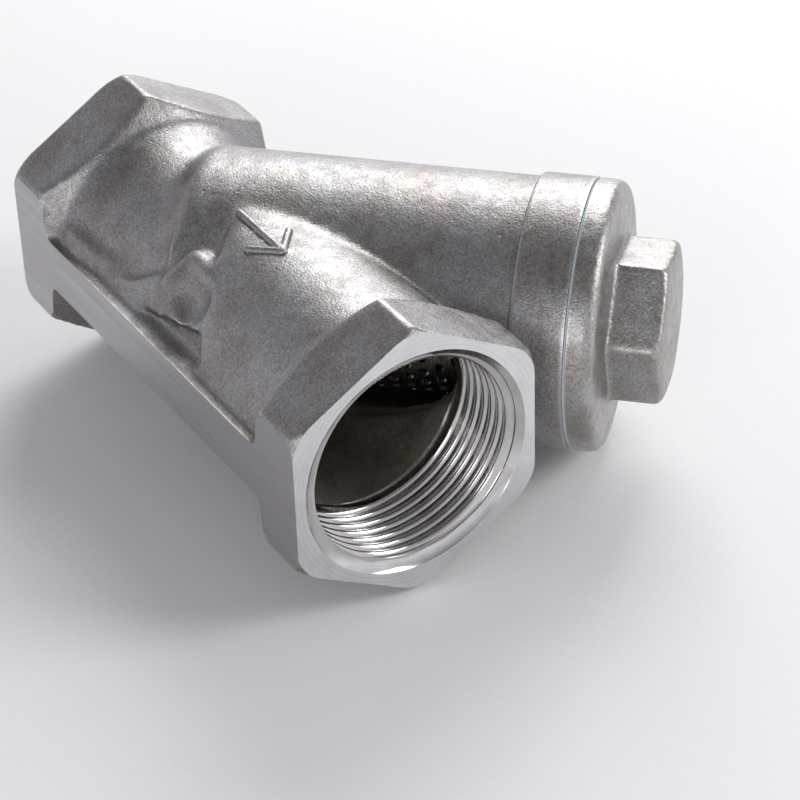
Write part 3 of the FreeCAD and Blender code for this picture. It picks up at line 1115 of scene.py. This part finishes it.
@dataclass
class CapCasting:
    """The cap: a cast flange with a solid hexagon head, and a turned spigot with its thread."""

    seat: float = 70.75
    flange: float = 24.9
    thickness: float = 4.95
    head_flats: float = 26.6
    head_top: float = 86.1
    head_turn: float = 19.0
    allowance: float = 1.2
    spigot_end: float = 60.2
    recess_radius: float = 17.25
    recess_floor: float = 67.2
    hollow_radius: float = 14.5
    hollow_roof: float = 70.7
    thread_start: float = 59.2
    thread: ScrewThread = ScrewThread(20.75, 21.93, 2.0, 12.4)

    def build(self) -> None:
        """Cast the head and the flange, face them and screw-cut the spigot."""
        face = self.seat + self.thickness
        lip = self.flange
        flange = turned([(lip, self.seat - self.allowance), (lip, face - 1.5), (lip - 0.5, face - 0.55),
                         (lip - 1.4, face - 0.1), (lip - 2.6, face), (15.0, face + 0.35)], BRANCH.matrix(0.0), 160)
        corner = self.head_flats / math.sqrt(3.0)
        head = turned([(corner, face - 2.0), (corner, self.head_top + 0.3)], BRANCH.matrix(0.0), 6, self.head_turn)
        top = self.head_top
        dome = turned([(corner + 0.2, face - 2.0), (corner + 0.2, top - 1.2), (corner - 1.2, top - 0.2),
                       (corner - 4.0, top + 0.1), (4.0, top + 0.3)], BRANCH.matrix(0.0))
        combine(head, dome, Join.SHARE)
        cap = CAST_CAP.apply(cast(gather("cap_casting", [flange, head]), grain=0.5, rounding=20))
        back = tuple(-value for value in BRANCH.direction)
        face_off(cap, Vector(BRANCH.origin) + Vector(BRANCH.direction) * self.seat, back, BOSS_FACE.material())
        combine(cap, CAP_THREAD.apply(self.spigot()), Join.ADD)
        recess = turned([(self.recess_radius, self.spigot_end - 2.0), (self.recess_radius, self.recess_floor)],
                        BRANCH.matrix(0.0))
        hollow = turned([(self.hollow_radius, self.recess_floor - 2.0), (self.hollow_radius, self.hollow_roof)],
                        BRANCH.matrix(0.0))
        combine(cap, BOSS_FACE.apply(recess), Join.TAKE)
        combine(cap, BOSS_FACE.apply(hollow), Join.TAKE)
        finish_off(cap, "cap_casting", "cap", "screen_cap")

    def spigot(self) -> Piece:
        """The screwed spigot, in step with the thread of the boss.

        Returns:
            The solid, which reaches a little into the flange.
        """
        spigot = self.thread.solid(BRANCH.matrix(self.thread_start))
        outline = turned([(20.3, self.spigot_end), (22.3, self.spigot_end + 2.0), (22.3, self.seat - 2.4),
                          (20.6, self.seat - 1.7), (20.6, self.seat + 1.0)], BRANCH.matrix(0.0))
        return combine(spigot, outline, Join.SHARE)


@dataclass
class GasketRing:
    """The flat PTFE ring between the boss and the cap, squeezed a little proud at its rim."""

    low: float = 70.2
    high: float = 70.75
    inner: float = 21.6
    outer: float = 24.45

    def build(self) -> None:
        """Turn the ring."""
        middle = (self.low + self.high) / 2.0
        ring = turned([(self.outer - 0.12, self.low), (self.outer, self.low + 0.1), (self.outer + 0.1, middle),
                       (self.outer, self.high - 0.1), (self.outer - 0.12, self.high)], BRANCH.matrix(0.0), 192)
        hole = turned([(self.inner, self.low - 1.0), (self.inner, self.high + 1.0)], BRANCH.matrix(0.0), 192)
        PTFE.apply(combine(ring, hole, Join.TAKE))
        finish_off(ring, "gasket_ring", "cap", "cap_gasket")


@dataclass
class ScreenSheet:
    """The screen: perforated sheet rolled into a tube, with plain margins at both ends."""

    low: float = -1.5
    high: float = 67.1
    outer: float = 17.2
    wall: float = 0.8
    hole: float = 1.0
    holes_around: int = 30
    rows: int = 22

    def build(self) -> None:
        """Model one hole in its cell, repeat it over the sheet, roll the sheet up and give it its wall."""
        middle = self.outer - self.wall / 2.0
        width = 2.0 * math.pi * middle / self.holes_around
        height = width * math.sqrt(3.0) / 2.0
        rest_selection()
        bpy.ops.mesh.primitive_circle_add(vertices=12, radius=self.hole * MM, fill_type="NOTHING")
        sheet = bpy.context.object
        sheet.name = "screen_sheet"
        start_edit()
        bpy.ops.mesh.extrude_region_move(TRANSFORM_OT_translate={"value": (0.0, 0.0, 0.0)})
        bpy.ops.transform.resize(value=(1.5, 1.5, 1.0), center_override=(0.0, 0.0, 0.0))
        bpy.ops.object.mode_set(mode="OBJECT")
        for vertex in sheet.data.vertices:
            if vertex.co.length > 1.2 * self.hole * MM:
                vertex.co = self.cell_corner(vertex.co, width * MM, height * MM)
        row = {"use_relative_offset": False, "use_constant_offset": True, "use_merge_vertices": True,
               "merge_threshold": WELD}
        modify(sheet, "ARRAY", count=2, constant_offset_displace=(width / 2 * MM, height * MM, 0.0), **row)
        modify(sheet, "ARRAY", count=self.holes_around, constant_offset_displace=(width * MM, 0.0, 0.0), **row)
        modify(sheet, "ARRAY", count=self.rows // 2, constant_offset_displace=(0.0, 2 * height * MM, 0.0), **row)
        self.add_margins(sheet, height)
        self.roll(sheet, middle, height)
        modify(sheet, "SOLIDIFY", thickness=self.wall * MM, offset=0.0)
        SCREEN_SHEET.apply(sheet)
        finish_off(sheet, "screen_tube", "screen", "strainer_screen")

    def cell_corner(self, place: Vector, width: float, height: float) -> Vector:
        """Move a corner of the outer ring of a cell onto the cell's border.

        Args:
            place: the corner on its ring.
            width: the cell's width in metres.
            height: the cell's height in metres.

        Returns:
            The corner on the border, so that a row shifted by half a cell still meets it.
        """
        step = round(math.degrees(math.atan2(place.y, place.x)) / 30.0) % 12
        if step % 6 == 0:
            return Vector((width / 2 if step == 0 else -width / 2, 0.0, 0.0))
        share = (0.5, 0.25, 0.0, -0.25, -0.5)[(step if step < 6 else 12 - step) - 1]
        return Vector((share * width, height / 2 if step < 6 else -height / 2, 0.0))

    def add_margins(self, sheet: Piece, height: float) -> None:
        """Extrude the sheet's two long borders to the screen's full length.

        Args:
            sheet: the flat sheet.
            height: the height of a row.
        """
        top = (self.rows - 0.5) * height
        margin = (self.high - self.low - self.rows * height) / 2.0
        for level, way in ((top, 1.0), (-0.5 * height, -1.0)):
            take_up(sheet)
            for edge in sheet.data.edges:
                ends = [sheet.data.vertices[index].co.y / MM for index in edge.vertices]
                edge.select = all(abs(end - level) < 0.01 for end in ends)
            for vertex in sheet.data.vertices:
                vertex.select = abs(vertex.co.y / MM - level) < 0.01
            for polygon in sheet.data.polygons:
                polygon.select = False
            bpy.ops.object.mode_set(mode="EDIT")
            bpy.ops.mesh.select_mode(type="EDGE")
            bpy.ops.mesh.extrude_region_move(TRANSFORM_OT_translate={"value": (0.0, way * margin * MM, 0.0)})
            bpy.ops.object.mode_set(mode="OBJECT")

    def roll(self, sheet: Piece, middle: float, height: float) -> None:
        """Roll the flat sheet up around the branch and weld its seam.

        Args:
            sheet: the flat sheet.
            middle: the radius of the sheet's middle plane.
            height: the height of a row.
        """
        margin = (self.high - self.low - self.rows * height) / 2.0
        for vertex in sheet.data.vertices:
            angle = vertex.co.x / MM / middle
            along = vertex.co.y / MM + height / 2 + margin + self.low
            vertex.co = Vector((math.cos(angle) * middle, math.sin(angle) * middle, along)) * MM
        set_place(sheet, BRANCH.matrix(0.0))
        start_edit()
        bpy.ops.mesh.remove_doubles(threshold=2.0 * WELD)
        end_edit()


@dataclass
class Studio:
    """The pale floor, the soft lights and the camera."""

    floor_level: float = -27.72
    eye: tuple[float, float, float] = (447.2, -206.4, 298.9)
    right: tuple[float, float, float] = (0.5236, 0.8514, -0.0311)
    up: tuple[float, float, float] = (-0.4837, 0.3271, 0.8118)
    lens: float = 132.2
    shift: tuple[float, float] = (0.0211, 0.0086)
    horizon: float = 0.95
    zenith: float = 0.27

    def camera(self) -> None:
        """Set up the camera at its place."""
        data = bpy.data.cameras.new("camera")
        data.lens = self.lens
        data.sensor_width = 36.0
        data.shift_x, data.shift_y = self.shift
        data.clip_start = 0.01
        item = bpy.data.objects.new("camera", data)
        bpy.context.collection.objects.link(item)
        right = Vector(self.right).normalized()
        back = right.cross(Vector(self.up)).normalized()
        up = back.cross(right).normalized()
        turn = Matrix((right, up, back)).transposed().to_4x4()
        item.matrix_world = Matrix.Translation(Vector(self.eye) * MM) @ turn
        bpy.context.scene.camera = item

    def light(self, name: str, place: Sequence[float], aim: Sequence[float], size: float, power: float) -> None:
        """Add one soft rectangular light.

        Args:
            name: the light's name.
            place: where it hangs, in millimetres.
            aim: what it points at, in millimetres.
            size: the length of its side, in millimetres.
            power: its power in watts.
        """
        data = bpy.data.lights.new(name, "AREA")
        data.size = size * MM
        data.energy = power
        item = bpy.data.objects.new(name, data)
        bpy.context.collection.objects.link(item)
        item.location = Vector(place) * MM
        item.rotation_euler = (Vector(aim) - Vector(place)).to_track_quat("-Z", "Y").to_euler()

    def surround(self) -> None:
        """Light the room softly: bright near the horizon and darker overhead."""
        world = bpy.data.worlds.new("studio")
        world.use_nodes = True
        tree = world.node_tree
        place = add_node(tree, "TexCoord").outputs["Generated"]
        height = add_node(tree, "SeparateXYZ", {0: place}).outputs["Z"]
        level = add_node(tree, "MapRange", {0: height, 1: 0.05, 2: 0.75, 3: self.horizon, 4: self.zenith})
        tree.nodes["Background"].inputs["Color"].default_value = linear("f8f7ff")
        tree.links.new(level.outputs[0], tree.nodes["Background"].inputs["Strength"])
        bpy.context.scene.world = world

    def build(self) -> None:
        """Lay the floor, hang the lights and set up the camera."""
        rest_selection()
        bpy.ops.mesh.primitive_plane_add(size=4.0, location=(0.0, 0.0, self.floor_level * MM))
        floor = bpy.context.object
        floor.name = "floor"
        PAPER.apply(floor)
        self.surround()
        self.light("back_softbox", (-380.0, 420.0, 430.0), (50.0, 20.0, 0.0), 420.0, 3.6)
        self.light("right_softbox", (420.0, 420.0, 330.0), (60.0, 20.0, 0.0), 260.0, 1.5)
        self.light("front_card", (420.0, -420.0, 160.0), (60.0, 0.0, 0.0), 220.0, 0.5)
        bpy.context.scene.view_settings.view_transform = "Standard"
        self.camera()


def main() -> None:
    """Build the pieces in order and report each of them."""
    logging.basicConfig(level=logging.INFO, format="%(message)s")
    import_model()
    for assembly in (BodyCasting(), ScreenSheet(), GasketRing(), CapCasting(), Studio()):
        assembly.build()


if __name__ == "__main__":
    main()
